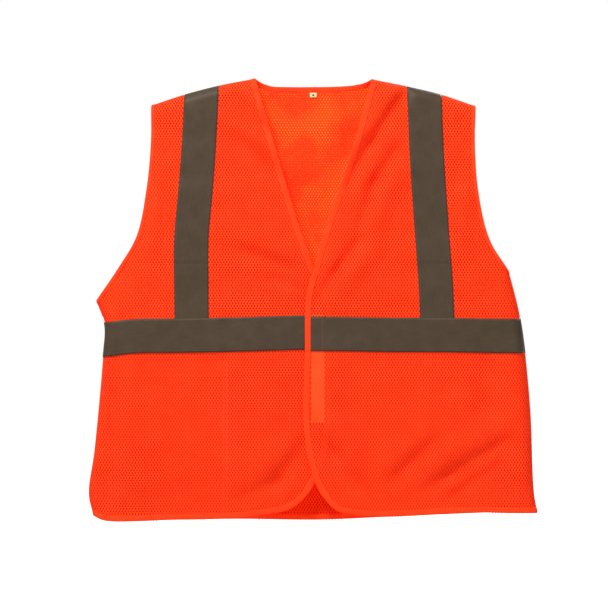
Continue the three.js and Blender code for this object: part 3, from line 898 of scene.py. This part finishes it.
def back():
    outline_parts = {
        "hem": flat_path(BACK, BACK_HEM),
        "left_arm": flat_path(BACK, ARMHOLE[LEFT]),
        "neck": flat_path(BACK, BACK_NECK),
        "right_arm": flat_path(BACK, ARMHOLE[RIGHT][::-1]),
    }
    outline = np.vstack([
        outline_parts["hem"], flat_path(BACK, SIDE[LEFT]), outline_parts["left_arm"],
        flat_path(BACK, SHOULDER[LEFT]), outline_parts["neck"], flat_path(BACK, SHOULDER[RIGHT][::-1]),
        outline_parts["right_arm"], flat_path(BACK, SIDE[RIGHT][::-1]),
    ])
    panel = perforated("back_mesh", BACK, outline, list(outline_parts.values()), SHADED_BACK_MESH, BACK_HOLE,
                       covers=[(front_outline(half), neck_edge(half)) for half in (LEFT, RIGHT)]
                       + [(HEM_GAP, neck_edge(LEFT))])
    keep(panel, "back_panel", slot="mesh_fabric")
    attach(panel, "root")
    trims, rows = [], []
    bindings = [
        ("hem", "back_hem", "back_hem_binding", "hem"),
        ("neck", "back_neck", "back_neck_binding", "neck"),
        ("left_arm", "left_armhole_back", "left_armhole_binding_back", "armhole"),
        ("right_arm", "right_armhole_back", "right_armhole_binding_back", "armhole"),
    ]
    for part, name, node, kind in bindings:
        width = BINDING_WIDTH[kind]
        piece = sweep(name, BACK, outline_parts[part], 1, binding_section(width), BAND, 0.1)
        keep(piece, node, slot="binding")
        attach(piece, "root")
        trims.append(piece)
        row = inward_path(outline_parts[part], 1, width - BINDING_STITCH)
        for face in (1, -1) if part == "neck" else (1,):
            rows.append((BACK, row, SEWN_HEIGHT * face))
    thread = stitches("back_edge_thread", rows, THREAD)
    keep(thread, slot="binding")
    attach(thread, "root")
    trims.append(thread)

    waist = extend(flat_path(BACK, WAIST[BACK]), before=TO_SIDE_SEAM, after=TO_SIDE_SEAM)
    waist_tape = sweep("back_waist", BACK, waist, 1, OVER_SECTION, TAPE, limit=seam_limit(BACK))
    keep(waist_tape, "back_waist_tape", slot="reflective_tape")
    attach(waist_tape, "root")
    tape_stitch = tape_rows(BACK, waist, WAIST_TOP)
    trims.append(waist_tape)
    for half in (LEFT, RIGHT):
        path = extend(flat_path(BACK, SHOULDER_TAPE[half]), before=TO_SHOULDER_SEAM)
        tape = sweep(f"{SIDE_NAME[half]}_shoulder_tape_rear", BACK, path, 1, TAPE_SECTION, TAPE,
                     limit=seam_limit(BACK))
        keep(tape, f"{SIDE_NAME[half]}_shoulder_tape_back", slot="reflective_tape")
        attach(tape, "root")
        trims.append(tape)
        tape_stitch += tape_rows(BACK, path, TAPE_TOP)
    tape_thread = stitches("back_tape_thread", tape_stitch, TAPE_THREAD)
    keep(tape_thread, slot="reflective_tape")
    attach(tape_thread, "root")
    trims.append(tape_thread)
    return panel, trims


def seams():
    for layer in (LEFT, RIGHT):
        side = SIDE_NAME[layer]
        outward = -SIGN[layer]
        line = SIDE_LINE[layer]
        crossed = (np.abs(line[:, 1] - WAIST[BACK][0][1]) < TAPE_WIDTH / 2 + 1) * PRESSED
        ridge = seam(f"{side}_side_ridge", line, outward, BAND, crossed)
        keep(ridge, f"{side}_side_seam", slot="binding")
        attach(ridge, "root")
        line = SHOULDER_LINE[layer]
        crossed = (np.abs(line[:, 0] - SHOULDER_TAPE[layer][0][0]) < TAPE_WIDTH / 2) * PRESSED
        top = seam(f"{side}_shoulder_ridge", line, outward, BAND, crossed)
        keep(top, f"{side}_shoulder_seam", slot="binding")
        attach(top, "root")


def node_box(node):
    """A CAD node's lowest and highest corner, in millimetres above the hem level."""
    low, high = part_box(node)
    lift = Vector((0, 0, HANG_HEIGHT))
    return low / MM + lift, high / MM + lift


def upright_strip(name, layer, x, low_z, high_z, half_width, low, high, material):
    path = resample(pattern(layer, [(x, low_z), (x, high_z)]), 3.0)
    return sweep(name, layer, path, 1, flat_section(-half_width, half_width, low, high, 6), material)


def closure():
    """Hook strip behind the upper edge, loop strip on the under edge, and their box stitching."""
    low, high = node_box("hook_strip")
    middle, half = (low.x + high.x) / 2, (high.x - low.x) / 2 + 1
    hook = upright_strip("hook_tape", LEFT, middle, low.z, high.z, half, -2.0, -0.7, HOOKS)
    keep(hook, "hook_strip", slot="hook_and_loop")
    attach(hook, "left_flap")
    low, high = node_box("loop_strip")
    middle = (low.x + high.x) / 2
    loop = upright_strip("loop_tape", RIGHT, middle, low.z, high.z, 9, 1.45, 2.4, LOOPS)
    keep(loop, "loop_strip", slot="hook_and_loop")
    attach(loop, "right_flap")
    corners = [(13.2, low.z + 2), (13.2, high.z - 2.5), (-4.5, high.z - 2)]
    tape_low = 252.6
    on_mesh = resample(pattern(LEFT, [(-4.5, low.z + 2), corners[0], (13.2, tape_low)]), 2.0)
    on_tape = resample(pattern(LEFT, [(13.2, tape_low), corners[1], corners[2]]), 2.0)
    mesh_thread = stitches("closure_thread_low", [(LEFT, on_mesh, 0.1)], THREAD)
    tape_thread = stitches("closure_thread_tape", [(LEFT, on_tape, 1.42)], BOX_THREAD,
                           thread=0.5, space=0.35)
    for piece in (mesh_thread, tape_thread):
        keep(piece, slot="hook_and_loop")
        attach(piece, "left_flap")
    return hook, loop, mesh_thread, tape_thread


POCKET_DEPTH = -2.2  # the pocket's cloth lies behind the front's


def pocket():
    low, high = node_box("inner_pocket")
    corners = [(low.x, low.z), (high.x, low.z), (high.x, high.z), (low.x, high.z)]
    edges = zip(corners, corners[1:] + corners[:1])
    outline = np.vstack([resample(pattern(RIGHT, [a, b]), 4) for a, b in edges])
    bag = perforated("pocket_mesh", RIGHT, outline, [], MESH, FRONT_HOLE, depth=POCKET_DEPTH)
    keep(bag, "inner_pocket", slot="mesh_fabric")
    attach(bag, "root")
    hem_half = 11.0
    top_path = resample(pattern(RIGHT, [(low.x, high.z - hem_half), (high.x, high.z - hem_half)]), 3)
    top = sweep("pocket_top_hem", RIGHT, top_path, 1,
                flat_section(-hem_half, hem_half, POCKET_DEPTH - 0.7, POCKET_DEPTH + 0.5, 8), BAND)
    edge = upright_strip("pocket_edge_hem", RIGHT, high.x - 4.2, low.z, high.z, 4.2, POCKET_DEPTH - 0.6,
                         POCKET_DEPTH + 0.6, BAND)
    sewn = resample(pattern(RIGHT, [(high.x - 1.5, high.z), (high.x - 1.5, low.z)]), 2)
    inner = resample(pattern(RIGHT, [(high.x - 7, high.z), (high.x - 7, low.z)]), 2)
    sewn_z = high.z - 2 * hem_half + 2
    mouth = resample(pattern(RIGHT, [(low.x, sewn_z), (high.x, sewn_z)]), 2)
    thread = stitches("pocket_thread", [(RIGHT, sewn, 0.1), (RIGHT, inner, 0.1),
                                        (RIGHT, mouth, POCKET_DEPTH + 0.5)], THREAD)
    for piece in (top, edge, thread):
        keep(piece, slot="binding")
        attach(piece, "root")
    return bag, [top, edge, thread]


def label():
    """Size tab inside the back neck: a woven tab with a plain mark and no lettering."""
    low, high = node_box("size_label")
    middle_z = (low.z + high.z) / 2
    path = resample(pattern(BACK, [(low.x, middle_z), (high.x, middle_z)]), 1.0)
    half = (high.z - low.z) / 2
    tab = sweep("size_tab", BACK, path, 1, flat_section(-half, half, -1.9, -1.4, 6), LABEL)
    keep(tab, "size_label", slot="label")
    mark_path = resample(pattern(BACK, [(-1.4, middle_z), (1.4, middle_z)]), 0.7)
    mark = sweep("size_tab_mark", BACK, mark_path, 1, flat_section(-1.2, 1.2, -2.05, -1.85, 3), INK)
    keep(mark, slot="label")
    for piece in (tab, mark):
        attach(piece, "root")
    return tab, mark


left_panel, left_trims = front(LEFT)
right_panel, right_trims = front(RIGHT)
back_panel, back_trims = back()
seams()
hook, loop, low_thread, tape_thread = closure()
bag, bag_trims = pocket()
label()

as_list(bag_trims)
